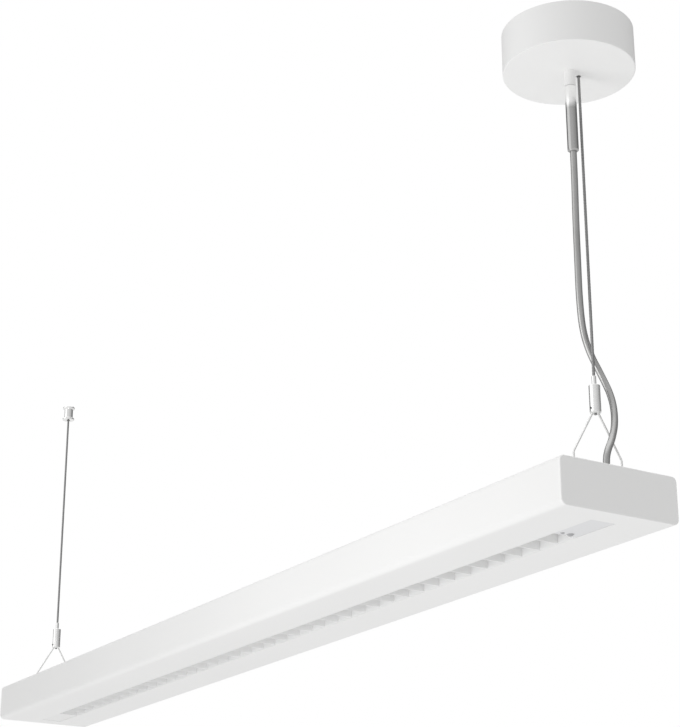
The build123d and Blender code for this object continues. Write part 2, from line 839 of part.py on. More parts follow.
for side, wire_x in wire_sides.items():
    bridle_points = [
        (wire_x, bridle_root_y, gripper_bottom + bridle_root_depth),
        (wire_x, anchor_y, kink_z),
        (wire_x, anchor_y, foot_z),
    ]
    wire_axis = Axis((wire_x, 0, 0), (0, 0, 1))

    with BuildPart() as bridle:
        with BuildLine() as bridle_path:
            FilletPolyline(*bridle_points, radius=bridle_kink_radius)
        with BuildSketch(Plane(origin=bridle_path.line @ 0, z_dir=bridle_path.line % 0)):
            Circle(bridle_wire_diameter / 2)
        sweep()
        with Locations((wire_x, anchor_y, foot_z)):
            Sphere(bridle_ball_diameter / 2)
        mirror(about=Plane.XZ)
    write_part(bridle, f"{side}_bridle")

    with BuildPart() as gripper_body:
        with BuildSketch(Plane.XZ):
            with BuildLine():
                Polyline(
                    (wire_x + plunger_bore, gripper_top),
                    (wire_x + gripper_radius, gripper_top),
                    (wire_x + gripper_radius, gripper_bottom),
                    (wire_x + wire_bore, gripper_bottom),
                    (wire_x + wire_bore, chamber_bottom),
                    (wire_x + chamber_radius, chamber_bottom),
                    (wire_x + chamber_radius, cone_bottom),
                    (wire_x + cone_top_radius, guide_bottom),
                    (wire_x + plunger_bore, guide_bottom),
                    close=True,
                )
            make_face()
        revolve(axis=wire_axis)
        outer_edges = gripper_body.edges().filter_by(GeomType.CIRCLE).filter_by(
            lambda edge: edge.radius > gripper_radius - run_gap
        )
        chamfer(outer_edges.sort_by(Axis.Z)[0], gripper_chamfer)
        chamfer(outer_edges.sort_by(Axis.Z)[-1], gripper_top_chamfer)
        with BuildSketch(Plane.XZ):
            with Locations((wire_x, lock_screw_z)):
                Circle(lock_screw_diameter / 2 + thread_gap)
        extrude(amount=gripper_diameter, mode=Mode.SUBTRACT)
        for lean_sign in (-1, 1):
            root_start = (wire_x, lean_sign * bridle_root_y, gripper_bottom + bridle_root_depth)
            root_way = (0, lean_sign * bridle_lean, -1)
            with BuildSketch(Plane(origin=root_start, z_dir=root_way)):
                Circle(bridle_wire_diameter / 2 + thread_gap)
            extrude(amount=4 * bridle_root_depth, mode=Mode.SUBTRACT)
    write_part(gripper_body, f"{side}_gripper_body")

    with BuildPart() as lock_screw:
        with BuildSketch(Plane.XZ.offset(wire_bore + run_gap)):
            with Locations((wire_x, lock_screw_z)):
                Circle(lock_screw_diameter / 2)
        extrude(amount=gripper_radius + lock_screw_proud - wire_bore - run_gap)
        with BuildSketch(Plane.XZ.offset(gripper_radius + lock_screw_proud)):
            with Locations((wire_x, lock_screw_z)):
                RegularPolygon(lock_screw_socket / 2, 6)
        extrude(amount=-lock_screw_socket, mode=Mode.SUBTRACT)
    write_part(lock_screw, f"{side}_lock_screw")

    with BuildPart() as release_plunger:
        with BuildSketch(Plane.XZ):
            with BuildLine():
                Polyline(
                    (wire_x + wire_bore, gripper_top + plunger_rise),
                    (wire_x + plunger_radius, gripper_top + plunger_rise),
                    (wire_x + plunger_radius, guide_bottom - fit_gap),
                    (wire_x + collar_radius, guide_bottom - fit_gap),
                    (wire_x + collar_radius, guide_bottom - fit_gap - collar_height),
                    (wire_x + wire_bore, guide_bottom - fit_gap - collar_height),
                    close=True,
                )
            make_face()
        revolve(axis=wire_axis)
        chamfer(release_plunger.edges().group_by(Axis.Z)[-1].sort_by(Edge.length)[-1], plunger_chamfer)
    write_part(release_plunger, f"{side}_release_plunger")

    with BuildPart() as clutch_balls:
        for step in range(clutch_ball_count):
            turn = 2 * pi * step / clutch_ball_count
            ball_x = wire_x + clutch_ring_radius * cos(turn)
            with Locations((ball_x, clutch_ring_radius * sin(turn), clutch_z)):
                Sphere(clutch_ball_radius)
    write_part(clutch_balls, f"{side}_clutch_balls")

    with BuildPart() as clutch_spring:
        with BuildLine() as spring_path:
            Helix(
                spring_height / spring_turns,
                spring_height,
                spring_radius,
                center=(wire_x, 0, spring_bottom),
            )
        with BuildSketch(Plane(origin=spring_path.line @ 0, z_dir=spring_path.line % 0)):
            Circle(spring_wire_diameter / 2)
        sweep(is_frenet=True)
    write_part(clutch_spring, f"{side}_clutch_spring")

# Ceiling bracket: a hat-shaped strap with two slots, a web for the hanger and a tab for the block
web_top = -bracket_web_drop + bracket_sheet
web_bottom = -bracket_web_drop
half_web = bracket_web_length / 2
with BuildPart() as ceiling_bracket:
    with BuildSketch(Plane.XZ):
        with BuildLine():
            Polyline(
                (0, web_top),
                (half_web - bracket_sheet, web_top),
                (half_web - bracket_sheet, 0),
                (bracket_length / 2, 0),
                (bracket_length / 2, -bracket_sheet),
                (half_web, -bracket_sheet),
                (half_web, web_bottom),
                (0, web_bottom),
            )
            mirror(about=Plane.YZ)
        make_face()
    extrude(amount=bracket_width / 2, both=True)
    with BuildSketch(Plane.XY):
        with Locations((-bracket_slot_spacing / 2, 0), (bracket_slot_spacing / 2, 0)):
            SlotOverall(bracket_slot_length, bracket_slot_width)
    extrude(amount=-bracket_sheet, mode=Mode.SUBTRACT)
    with BuildSketch(Plane.XY.offset(web_bottom)):
        with Locations((gland_x, -bracket_width / 2 - tab_length / 2)):
            Rectangle(tab_width, tab_length)
    extrude(amount=bracket_sheet)
    with BuildSketch(Plane.XY.offset(web_top)):
        Circle(hanger_screw_diameter / 2 + thread_gap)
    extrude(amount=-bracket_sheet, mode=Mode.SUBTRACT)
write_part(ceiling_bracket, "ceiling_bracket")

with BuildPart() as hanger_screw:
    with BuildSketch(Plane.XY.offset(web_top)):
        RegularPolygon(hanger_screw_head / 2, 6, major_radius=False)
    extrude(amount=hanger_screw_head_height)
    with BuildSketch(Plane.XY.offset(web_top)):
        Circle(hanger_screw_diameter / 2)
    extrude(amount=-(bracket_sheet + hanger_thread_depth - fit_gap))
write_part(hanger_screw, "hanger_screw")

# Hangers: each is an upper piece with a tapped hole and a lower cap that holds the swivel ball
socket = ball_radius + fit_gap
exit_radius = wire_radius + (left_hanger_below_pivot + ball_radius) * swing_tangent + swing_spare


def cut_hanger(wire_x, top_z):
    """Cut the tapped hole, the ball socket and the wire exit of a hanger."""
    with BuildPart(mode=Mode.PRIVATE) as tool:
        with BuildSketch(Plane.XY.offset(top_z)):
            with Locations((wire_x, 0)):
                Circle(hanger_screw_diameter / 2 + thread_gap)
        extrude(amount=-hanger_thread_depth)
        with Locations((wire_x, 0, pivot_z)):
            Sphere(socket)
        with BuildSketch(Plane.XY.offset(pivot_z)):
            with Locations((wire_x, 0)):
                Circle(exit_radius)
        extrude(amount=-2 * left_hanger_below_pivot)
    return tool.part


right_cut = cut_hanger(0, web_bottom)
with BuildPart() as right_hanger_bush:
    with BuildSketch(Plane.XY.offset(pivot_z)):
        Circle(right_hanger_diameter / 2)
    extrude(amount=web_bottom - pivot_z)
    add(right_cut, mode=Mode.SUBTRACT)
write_part(right_hanger_bush, "right_hanger_bush")

with BuildPart() as right_hanger_cap:
    with BuildSketch(Plane.XY.offset(pivot_z)):
        Circle(right_hanger_diameter / 2)
    extrude(amount=-right_hanger_below_pivot)
    add(right_cut, mode=Mode.SUBTRACT)
write_part(right_hanger_cap, "right_hanger_cap")

left_top = pivot_z + left_hanger_above_pivot
left_bottom = pivot_z - left_hanger_below_pivot
left_cut = cut_hanger(left_wire_x, left_top)


def make_spool_half(label, flange_z, inward):
    """Half of the left hanger: a chamfered flange at flange_z and a waist that ends at the pivot."""
    with BuildPart() as half:
        with BuildSketch(Plane.XY.offset(flange_z)):
            with Locations((left_wire_x, 0)):
                Circle(stud_flange_diameter / 2)
        extrude(amount=inward * stud_flange_height)
        chamfer(half.edges().filter_by(GeomType.CIRCLE), stud_flange_chamfer)
        with BuildSketch(Plane.XY.offset(flange_z)):
            with Locations((left_wire_x, 0)):
                Circle(stud_waist_diameter / 2)
        extrude(amount=pivot_z - flange_z)
        add(left_cut, mode=Mode.SUBTRACT)
    write_part(half, label)


make_spool_half("left_hanger_base", left_top, -1)
make_spool_half("left_hanger_cap", left_bottom, 1)

# Canopy: a round cup, open to the ceiling, with a hole for the wire and one for the gland
wire_hole = wire_radius + (canopy_height - pivot_drop) * swing_tangent + swing_spare + fit_gap
gland_place = (gland_x, gland_y)
with BuildPart() as canopy:
    with BuildSketch(Plane.XY.offset(canopy_floor)):
        with Locations((0, canopy_y)):
            Circle(canopy_diameter / 2)
    extrude(amount=canopy_height)
    fillet(canopy.edges().group_by(Axis.Z)[0], canopy_edge_radius)
    with BuildSketch(Plane.XY.offset(canopy_floor + canopy_wall)):
        with Locations((0, canopy_y)):
            Circle(canopy_diameter / 2 - canopy_wall)
    extrude(amount=canopy_height, mode=Mode.SUBTRACT)
    with BuildSketch(Plane.XY.offset(canopy_floor)):
        Circle(wire_hole)
        with Locations(gland_place):
            Circle(gland_stem_diameter / 2 + thread_gap)
    extrude(amount=canopy_wall, mode=Mode.SUBTRACT)
write_part(canopy, "canopy")

# Canopy clips: two bent strips under the bracket that grip the canopy wall
canopy_inner = canopy_diameter / 2 - canopy_wall
clip_corner_y = clip_width / 2 - canopy_y
clip_inside = (canopy_inner**2 - clip_corner_y**2) ** 0.5 - clip_sheet
with BuildPart() as canopy_clips:
    with BuildSketch(Plane.XZ):
        with BuildLine():
            Polyline(
                (bracket_length / 2 - clip_seat, -bracket_sheet),
                (canopy_inner, -bracket_sheet),
                (canopy_inner, -clip_drop),
                (clip_inside, -clip_drop),
                (clip_inside, -bracket_sheet - clip_sheet),
                (bracket_length / 2 - clip_seat, -bracket_sheet - clip_sheet),
                close=True,
            )
        make_face()
    extrude(amount=clip_width / 2, both=True)
    mirror(about=Plane.YZ)
    with Locations((0, canopy_y, -clip_drop)):
        Cylinder(canopy_inner, 2 * canopy_height, mode=Mode.INTERSECT)
write_part(canopy_clips, "canopy_clips")

# Gland, seal and sleeve that carry the cord out of the canopy
floor_top = canopy_floor + canopy_wall
gland_bottom = canopy_floor - gland_length
seal_bottom = gland_bottom - seal_thickness
sleeve_bottom = seal_bottom - sleeve_length
with BuildPart() as cord_gland:
    with BuildSketch(Plane.XY.offset(gland_bottom)):
        with Locations(gland_place):
            Circle(gland_diameter / 2)
    extrude(amount=gland_length)
    with BuildSketch(Plane.XY.offset(canopy_floor)):
        with Locations(gland_place):
            Circle(gland_stem_diameter / 2)
    extrude(amount=canopy_wall + gland_nut_height)
    with BuildSketch(Plane.XY.offset(gland_bottom)):
        with Locations(gland_place):
            Circle(cord_bore)
    extrude(amount=2 * canopy_height, mode=Mode.SUBTRACT)
write_part(cord_gland, "cord_gland")

make_ring(
    "gland_nut",
    gland_place,
    floor_top,
    gland_nut_height,
    gland_nut_diameter / 2,
    gland_stem_diameter / 2 + thread_gap,
)
make_ring("gland_seal", gland_place, seal_bottom, seal_thickness, seal_diameter / 2, cord_bore)

with BuildPart() as cord_sleeve:
    with BuildSketch(Plane.XY.offset(sleeve_bottom)):
        with Locations(gland_place):
            Circle(sleeve_diameter / 2)
            Circle(cord_bore, mode=Mode.SUBTRACT)
    extrude(amount=sleeve_length)
    chamfer(cord_sleeve.edges().group_by(Axis.Z)[0].sort_by(Edge.length)[-1], sleeve_chamfer)
write_part(cord_sleeve, "cord_sleeve")

# Terminal block under the bracket tab, and the cord piece that reaches it through the gland
with BuildPart() as canopy_terminal_block:
    with BuildSketch(Plane.XY.offset(web_bottom)):
        with Locations((gland_x, canopy_block_y - block_width / 2)):
            Rectangle(block_length, block_width)
    extrude(amount=-block_height)
    with BuildSketch(Plane.XY.offset(web_bottom - block_height)):
        for pole_x in well_places(gland_x):
            with Locations((pole_x, canopy_block_y - block_width / 2)):
                Circle(block_screw_diameter / 2)
    extrude(amount=block_well_depth, mode=Mode.SUBTRACT)
write_part(canopy_terminal_block, "canopy_terminal_block")

canopy_well_floor = web_bottom - block_height + block_well_depth
with BuildPart() as canopy_terminal_screws:
    for pole_x in well_places(gland_x):
        with BuildSketch(Plane.XY.offset(canopy_well_floor)):
            with Locations((pole_x, canopy_block_y - block_width / 2)):
                Circle(block_screw_diameter / 2 - run_gap)
        extrude(amount=-terminal_screw_height)
        with BuildSketch(Plane.XY.offset(canopy_well_floor - terminal_screw_height)):
            with Locations((pole_x, canopy_block_y - block_width / 2)):
                Rectangle(block_screw_diameter, terminal_screw_slot)
        extrude(amount=terminal_screw_slot, mode=Mode.SUBTRACT)
write_part(canopy_terminal_screws, "canopy_terminal_screws")

make_cord(
    "canopy_cord_tail",
    [
        (gland_x, gland_y, sleeve_bottom),
        (gland_x, gland_y, canopy_block_z),
        (gland_x, canopy_block_y, canopy_block_z),
    ],
    cord_diameter,
)

# Free cord between the sleeve and the inlet
route_points = [Vector(*point) for point in cord_route]
cord_radii = []
for before, corner, after in zip(route_points, route_points[1:], route_points[2:]):
    run_in = corner - before
    run_out = after - corner
    half_turn = radians(run_in.get_angle(run_out)) / 2
    cord_radii.append(0.45 * min(run_in.length, run_out.length) / tan(half_turn))
with BuildPart() as power_cord:
    with BuildLine() as cord_path:
        FilletPolyline(*cord_route, radius=cord_radii)
    with BuildSketch(Plane(origin=cord_path.line @ 0, z_dir=cord_path.line % 0)):
        Circle(cord_diameter / 2)
    sweep()
write_part(power_cord, "power_cord")

cord_section = pi * cord_diameter**2 / 4
cord_length = sum(edge.length for edge in cord_path.edges())
print("gap between spring turns", round(spring_height / spring_turns - spring_wire_diameter, 2))
print("cord bend radii", [round(radius) for radius in cord_radii])
print("cord length", round(cord_length, 1))
print("cord volume share", round(power_cord.part.volume / (cord_section * cord_length), 4))
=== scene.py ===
"""Looks of the linear LED pendant light: finishes, the power cord, the wire ropes, light and camera.

Everything is in metres, in the frame of the CAD model: X along the housing, Z up, z = 0 at the ceiling.
"""

import json
from math import cos, pi, sin

import bpy
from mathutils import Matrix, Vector


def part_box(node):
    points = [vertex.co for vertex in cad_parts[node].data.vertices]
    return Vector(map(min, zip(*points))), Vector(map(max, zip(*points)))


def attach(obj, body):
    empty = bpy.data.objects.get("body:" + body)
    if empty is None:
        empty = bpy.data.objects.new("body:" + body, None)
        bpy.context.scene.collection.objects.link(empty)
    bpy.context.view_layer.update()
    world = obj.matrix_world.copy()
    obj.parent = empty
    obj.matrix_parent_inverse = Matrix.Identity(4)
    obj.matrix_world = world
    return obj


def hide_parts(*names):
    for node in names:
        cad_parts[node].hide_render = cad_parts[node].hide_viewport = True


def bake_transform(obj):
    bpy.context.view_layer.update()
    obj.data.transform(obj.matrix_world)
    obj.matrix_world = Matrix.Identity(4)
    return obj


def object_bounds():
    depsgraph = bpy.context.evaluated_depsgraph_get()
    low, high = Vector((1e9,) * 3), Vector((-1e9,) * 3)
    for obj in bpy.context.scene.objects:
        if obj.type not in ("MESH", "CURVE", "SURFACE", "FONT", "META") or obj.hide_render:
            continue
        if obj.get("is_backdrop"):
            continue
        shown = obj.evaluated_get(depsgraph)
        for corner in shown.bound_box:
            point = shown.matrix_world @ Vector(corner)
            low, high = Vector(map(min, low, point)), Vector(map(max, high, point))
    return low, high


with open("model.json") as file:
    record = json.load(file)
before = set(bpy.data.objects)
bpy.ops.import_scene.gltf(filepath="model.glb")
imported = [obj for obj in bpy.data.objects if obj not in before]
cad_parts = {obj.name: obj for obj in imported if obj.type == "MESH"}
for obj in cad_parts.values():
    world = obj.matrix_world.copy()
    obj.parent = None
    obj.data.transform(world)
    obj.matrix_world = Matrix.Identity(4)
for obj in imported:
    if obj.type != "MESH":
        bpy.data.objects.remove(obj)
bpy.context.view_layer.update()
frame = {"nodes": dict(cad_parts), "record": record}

# Camera, at the viewing angle of the photograph
CAMERA_PLACE = (1.1788, -0.9928, -0.8960)
CAMERA_LOOK = (-0.7953, 0.4943, 0.3510)
CAMERA_LENS_MM = 92.41
CAMERA_SENSOR_MM = 36.0
CAMERA_NEAR = 0.05
CAMERA_FAR = 50.0

# Floor
FLOOR_CENTRE = (-0.5, 0.0, -2.4)
FLOOR_RADIUS = 6.0
FLOOR_SIDES = 96
FLOOR_COLOUR = (0.7, 0.7, 0.695)

# Surround
FLOOR_LEVEL = 0.845  # brightness of the surround straight below
BAND_LEVEL = 0.88  # brightness of the low panels all round
RING_LEVEL = 0.32  # brightness of the dark ring above them
TOP_LEVEL = 1.52  # brightness of the surround overhead
BRIGHT_SIDE = (-0.25, -0.97, 0.0)  # the surround is brighter towards this side
SIDE_SHARE = 0.117  # by this share, and darker by the same share on the other side
# Brightness of the surround by the rise of the direction, from -1 straight down to 1 straight up
SURROUND_LEVELS = [
    (-1.0, FLOOR_LEVEL),
    (-0.68, FLOOR_LEVEL),
    (-0.55, BAND_LEVEL),
    (-0.08, BAND_LEVEL),
    (0.10, RING_LEVEL),
    (0.58, RING_LEVEL),
    (0.76, TOP_LEVEL),
]
# Where the surround is the ring, by the same rise: 0 outside it and 1 inside
RING_SHARES = [(-0.08, 0.0), (0.10, 1.0), (0.58, 1.0), (0.76, 0.0)]
# Brightness of the ring as metal and gloss mirror it, by compass direction from +X, in degrees
RING_SIDES = [
    (-180.0, 0.20),
    (-150.0, 0.30),
    (-135.0, 1.20),
    (-88.0, 1.20),
    (-76.0, 0.75),
    (-35.0, 0.72),
    (30.0, 0.58),
    (65.0, 0.30),
    (110.0, 0.18),
    (180.0, 0.20),
]

# Key light: one tall soft panel
KEY_PLACE = (-0.22, -0.84, -0.68)
KEY_TARGET = (-0.21, -0.03, -0.6)
KEY_WIDTH = 0.5
KEY_HEIGHT = 0.95
KEY_POWER = 2.54

# Power cord
CORD_DIAMETER = 0.0061
CORD_SIDES = 28
CORD_SPLINE_ORDER = 3
CORD_SPLINE_STEPS = 14
CORD_ROUTE = [
    (0.0025, -0.0127, -0.1226),
    (0.0025, -0.0127, -0.1480),
    (0.0020, -0.0133, -0.1920),
    (0.0002, -0.0119, -0.2300),
    (-0.0045, -0.0083, -0.2620),
    (-0.0091, -0.0025, -0.2910),
    (-0.0089, 0.0047, -0.3120),
    (-0.0043, 0.0120, -0.3310),
    (0.0027, 0.0174, -0.3540),
    (0.0076, 0.0151, -0.3770),
    (0.0098, 0.0088, -0.3946),
    (0.0108, 0.0020, -0.4066),
    (0.0110, -0.0003, -0.4154),
    (0.0110, -0.0003, -0.4243),
]
# Stretches of the cord: name, height of the lower end, and the two bodies above and below the stretch
CORD_STRETCHES = [
    ("power_cord_upper", -0.165, "ceiling_set", "right_swivel"),
    ("power_cord_neck", -0.205, "right_swivel", "right_wire"),
    ("power_cord_middle", -0.345, "right_wire", "right_gripper"),
    ("power_cord_lower", CORD_ROUTE[-1][2], "right_gripper", "housing"),
]
HEIGHT_TOLERANCE = 1e-6

# Wire ropes and the nipples across their upper ends
ROPE_DIAMETER = 0.0026
ROPE_STRANDS = 6
ROPE_GROOVE = 0.12  # depth of the grooves between strands, as a share of the radius
ROPE_LAY = 0.017  # length of one turn of a strand
ROPE_STEP = 0.0008
ROPE_SIDES = 36
NIPPLE_DIAMETER = 0.0040
NIPPLE_LENGTH = 0.0050
NIPPLE_SIDES = 32
# Places along the nipple from its middle, and its radius there, as shares of its length and radius
NIPPLE_PROFILE = [(-0.5, 0.86), (-0.46, 1.0), (0.46, 1.0), (0.5, 0.86)]

# Finishes: a tone or gloss that follows a noise does so between these two values of the noise
NOISE_LOW = 0.3
NOISE_HIGH = 0.7
# How densely the noise lies along X, Y and Z
EVEN = (1.0, 1.0, 1.0)
TURNED = (1.0, 1.0, 9.0)  # fine rings round Z
BRUSHED = (0.05, 1.0, 1.0)  # long lines along X
DRAWN = (1.0, 1.0, 0.1)  # long lines along Z


# Materials
def start_material(name, colour, roughness, metallic=0.0):
    """New material, its shader with the main values set, and its node tree."""
    material = bpy.data.materials.new(name)
    material.use_nodes = True
    shader = material.node_tree.nodes["Principled BSDF"]
    shader.inputs["Base Color"].default_value = (*colour, 1.0)
    shader.inputs["Roughness"].default_value = roughness
    shader.inputs["Metallic"].default_value = metallic
    return material, shader, material.node_tree


def add_noise(tree, scale, detail=2.0, density=EVEN):
    """Noise in the object's own metres."""
    place = tree.nodes.new("ShaderNodeTexCoord")
    mapping = tree.nodes.new("ShaderNodeMapping")
    mapping.inputs["Scale"].default_value = density
    noise = tree.nodes.new("ShaderNodeTexNoise")
    noise.inputs["Scale"].default_value = scale
    noise.inputs["Detail"].default_value = detail
    tree.links.new(place.outputs["Object"], mapping.inputs["Vector"])
    tree.links.new(mapping.outputs["Vector"], noise.inputs["Vector"])
    return noise.outputs["Fac"]


def add_bump(tree, shader, height, distance, strength):
    """Bump from a height."""
    bump = tree.nodes.new("ShaderNodeBump")
    bump.inputs["Distance"].default_value = distance
    bump.inputs["Strength"].default_value = strength
    tree.links.new(height, bump.inputs["Height"])
    tree.links.new(bump.outputs["Normal"], shader.inputs["Normal"])


def spread_roughness(tree, shader, source, low, high):
    """Roughness that goes from low to high with a noise."""
    spread = tree.nodes.new("ShaderNodeMapRange")
    spread.inputs["From Min"].default_value = NOISE_LOW
    spread.inputs["From Max"].default_value = NOISE_HIGH
    spread.inputs["To Min"].default_value = low
    spread.inputs["To Max"].default_value = high
    tree.links.new(source, spread.inputs["Value"])
    tree.links.new(spread.outputs["Result"], shader.inputs["Roughness"])


def spread_colour(tree, shader, source, low, high, start=NOISE_LOW, end=NOISE_HIGH):
    """Colour that goes from low to high as the source goes from start to end."""
    ramp = tree.nodes.new("ShaderNodeValToRGB")
    ramp.color_ramp.elements[0].position = start
    ramp.color_ramp.elements[0].color = (*low, 1.0)
    ramp.color_ramp.elements[1].position = end
    ramp.color_ramp.elements[1].color = (*high, 1.0)
    tree.links.new(source, ramp.inputs["Fac"])
    tree.links.new(ramp.outputs["Color"], shader.inputs["Base Color"])


def drift_tone(tree, shader, colour, scale, darkest, detail=2.0):
    """Colour that drifts between a darker share of itself and its full tone."""
    drift = add_noise(tree, scale, detail)
    darker = tuple(darkest * value for value in colour)
    spread_colour(tree, shader, drift, darker, colour)


def turning_marks(tree, shader, roughness):
    """Faint turning marks that vary the gloss of a polished metal."""
    marks = add_noise(tree, scale=400.0, density=TURNED)
    spread_roughness(tree, shader, marks, low=roughness * 0.7, high=roughness * 1.4)
    return marks


def powder_coat(name, colour):
    """Satin powder coat with a fine orange peel and a faint drift of tone."""
    material, shader, tree = start_material(name, colour, roughness=0.42)
    shader.inputs["Specular IOR Level"].default_value = 0.3
    drift_tone(tree, shader, colour, scale=7.0, darkest=0.985)
    peel = add_noise(tree, scale=900.0, detail=3.0)
    spread_roughness(tree, shader, peel, low=0.38, high=0.48)
    add_bump(tree, shader, peel, distance=0.00006, strength=0.25)
    return material


def moulded_plastic(name, colour, roughness=0.5):
    """Moulded plastic with a fine spark-eroded grain."""
    material, shader, tree = start_material(name, colour, roughness)
    shader.inputs["Specular IOR Level"].default_value = 0.35
    drift_tone(tree, shader, colour, scale=16.0, darkest=0.975)
    grain = add_noise(tree, scale=2200.0)
    spread_roughness(tree, shader, grain, low=roughness - 0.06, high=roughness + 0.06)
    add_bump(tree, shader, grain, distance=0.00004, strength=0.2)
    return material


def plated_metal(name, colour, roughness):
    """Plating with faint turning marks."""
    material, shader, tree = start_material(name, colour, roughness, metallic=1.0)
    marks = turning_marks(tree, shader, roughness)
    drift_tone(tree, shader, colour, scale=60.0, darkest=0.93)
    add_bump(tree, shader, marks, distance=0.00001, strength=0.15)
    return material


def metal_with_painted_reflection(name, colour, painted_reflection_colour, roughness, fade_start, fade_end):
    """Polished metal with a painted reflection: its colour turns to another, brighter tone between two
    shares of the piece's height.
    """
    material, shader, tree = start_material(name, colour, roughness, metallic=1.0)
    place = tree.nodes.new("ShaderNodeTexCoord")
    split = tree.nodes.new("ShaderNodeSeparateXYZ")
    tree.links.new(place.outputs["Generated"], split.inputs["Vector"])
    spread_colour(tree, shader, split.outputs["Z"], colour, painted_reflection_colour, fade_start, fade_end)
    turning_marks(tree, shader, roughness)
    return material


def zinc_sheet(name, colour):
    """Zinc-plated steel with a mottled, slightly brushed face."""
    material, shader, tree = start_material(name, colour, roughness=0.4, metallic=1.0)
    drift_tone(tree, shader, colour, scale=120.0, darkest=0.84, detail=4.0)
    brush = add_noise(tree, scale=300.0, density=BRUSHED)
    spread_roughness(tree, shader, brush, low=0.3, high=0.5)
    add_bump(tree, shader, brush, distance=0.00002, strength=0.2)
    return material


def cord_sheath(name, colour, sheen=0.0):
    """Plastic sheath with a share of metallic sheen and faint drawing marks."""
    material, shader, tree = start_material(name, colour, roughness=0.3, metallic=sheen)
    shader.inputs["Coat Weight"].default_value = 0.3
    shader.inputs["Coat Roughness"].default_value = 0.16
    drift_tone(tree, shader, colour, scale=45.0, darkest=0.9)
    marks = add_noise(tree, scale=700.0, density=DRAWN)
    add_bump(tree, shader, marks, distance=0.00002, strength=0.1)
    return material


def dark_lens(name, colour):
    """Smoked gloss lens with faint facets."""
    material, shader, tree = start_material(name, colour, roughness=0.12)
    shader.inputs["Coat Weight"].default_value = 0.5
    cells = tree.nodes.new("ShaderNodeTexVoronoi")
    cells.inputs["Scale"].default_value = 900.0
    place = tree.nodes.new("ShaderNodeTexCoord")
    tree.links.new(place.outputs["Object"], cells.inputs["Vector"])
    add_bump(tree, shader, cells.outputs["Distance"], distance=0.0001, strength=0.3)
    drift = add_noise(tree, scale=300.0)
    spread_roughness(tree, shader, drift, low=0.08, high=0.2)
    return material


# One material for each slot of the record
MATERIALS = {
    "white_paint": powder_coat("white powder coat", (0.87, 0.87, 0.865)),
    "white_cap": powder_coat("white end cap", (0.885, 0.885, 0.88)),
    "white_plastic": moulded_plastic("white moulded plastic", (0.86, 0.86, 0.855)),
    "plate_grey": moulded_plastic("pale grey sensor plate", (0.77, 0.775, 0.785)),
    "lens_dark": dark_lens("smoked lens", (0.38, 0.38, 0.39)),
    "zinc_steel": zinc_sheet("zinc plated steel", (0.66, 0.67, 0.68)),
    "nickel": plated_metal("bright nickel", (0.92, 0.92, 0.915), roughness=0.12),
    "wire_steel": plated_metal("drawn wire", (0.3, 0.3, 0.3), roughness=0.3),
    "cord_sheath": cord_sheath("silver-grey cord sheath", (0.42, 0.42, 0.415), sheen=0.8),
    "grey_rubber": moulded_plastic("pale rubber seal", (0.5, 0.5, 0.495), roughness=0.7),
    "board_white": moulded_plastic("white circuit board", (0.8, 0.81, 0.8), roughness=0.4),
    "led_phosphor": moulded_plastic("LED phosphor", (0.85, 0.74, 0.32), roughness=0.3),
    "driver_white": moulded_plastic("white driver case", (0.78, 0.78, 0.76)),
    "module_black": moulded_plastic("black sensor module", (0.03, 0.03, 0.032), roughness=0.45),
    "lead_sheath": cord_sheath("blue lead sheath", (0.09, 0.13, 0.3)),
}

# Finishes of single pieces that differ from their slot
BRIDLE_WIRE = plated_metal("bridle wire", (0.8, 0.8, 0.795), roughness=0.6)
GRIPPER_METAL = plated_metal("satin gripper", (0.9, 0.9, 0.895), roughness=0.27)
LOCK_SCREW = plated_metal("blackened screw", (0.2, 0.2, 0.2), roughness=0.35)
# Cord sleeve: its nickel is darkened as painted shade of the dark surroundings it mirrors, and its upper
# part is brightened as a painted reflection of the canopy above
SLEEVE_PAINTED_SHADE_AND_REFLECTION = metal_with_painted_reflection(
    "satin nickel with painted shade and reflection",
    (0.46, 0.46, 0.455),
    painted_reflection_colour=(0.95, 0.95, 0.945),
    roughness=0.18,
    fade_start=0.655,
    fade_end=0.75,
)
LOUVRE_WHITE = moulded_plastic("white louvre", (0.9, 0.9, 0.9))


def set_material(piece, material):
    """Give the piece one material in place of those it had."""
    piece.data.materials.clear()
    piece.data.materials.append(material)


for subpart in frame["record"]["subparts"]:
    set_material(frame["nodes"][subpart["node"]], MATERIALS[subpart["material_slot"]])
for side in ("right", "left"):
    set_material(frame["nodes"][f"{side}_bridle"], BRIDLE_WIRE)
    set_material(frame["nodes"][f"{side}_gripper_body"], GRIPPER_METAL)
    set_material(frame["nodes"][f"{side}_lock_screw"], LOCK_SCREW)
# The cord sleeve takes the nickel with painted shade and a painted reflection of the canopy
set_material(frame["nodes"]["cord_sleeve"], SLEEVE_PAINTED_SHADE_AND_REFLECTION)
set_material(frame["nodes"]["louvre"], LOUVRE_WHITE)


# Meshes swept along a line
def spline_points(route):
    """Points along the smooth NURBS line that has the route as its control points."""
    curve = bpy.data.curves.new("route", "CURVE")
    curve.dimensions = "3D"
    spline = curve.splines.new("NURBS")
    spline.points.add(len(route) - 1)
    for point, place in zip(spline.points, route):
        point.co = (*place, 1.0)
    spline.order_u = CORD_SPLINE_ORDER
    spline.use_endpoint_u = True
    spline.resolution_u = CORD_SPLINE_STEPS
    holder = bpy.data.objects.new("route", curve)
    line = bpy.data.meshes.new_from_object(holder)
    points = [vertex.co.copy() for vertex in line.vertices]
    bpy.data.objects.remove(holder)
    bpy.data.meshes.remove(line)
    return points


def line_frames(points):
    """Two directions across the line at each point, carried along without twist."""
    frames = []
    across = Vector((1.0, 0.0, 0.0))
    last = len(points) - 1
    for index in range(len(points)):
        before = points[max(index - 1, 0)]
        after = points[min(index + 1, last)]
        along = (after - before).normalized()
        across = (across - along * across.dot(along)).normalized()
        frames.append((across.copy(), along.cross(across)))
    return frames


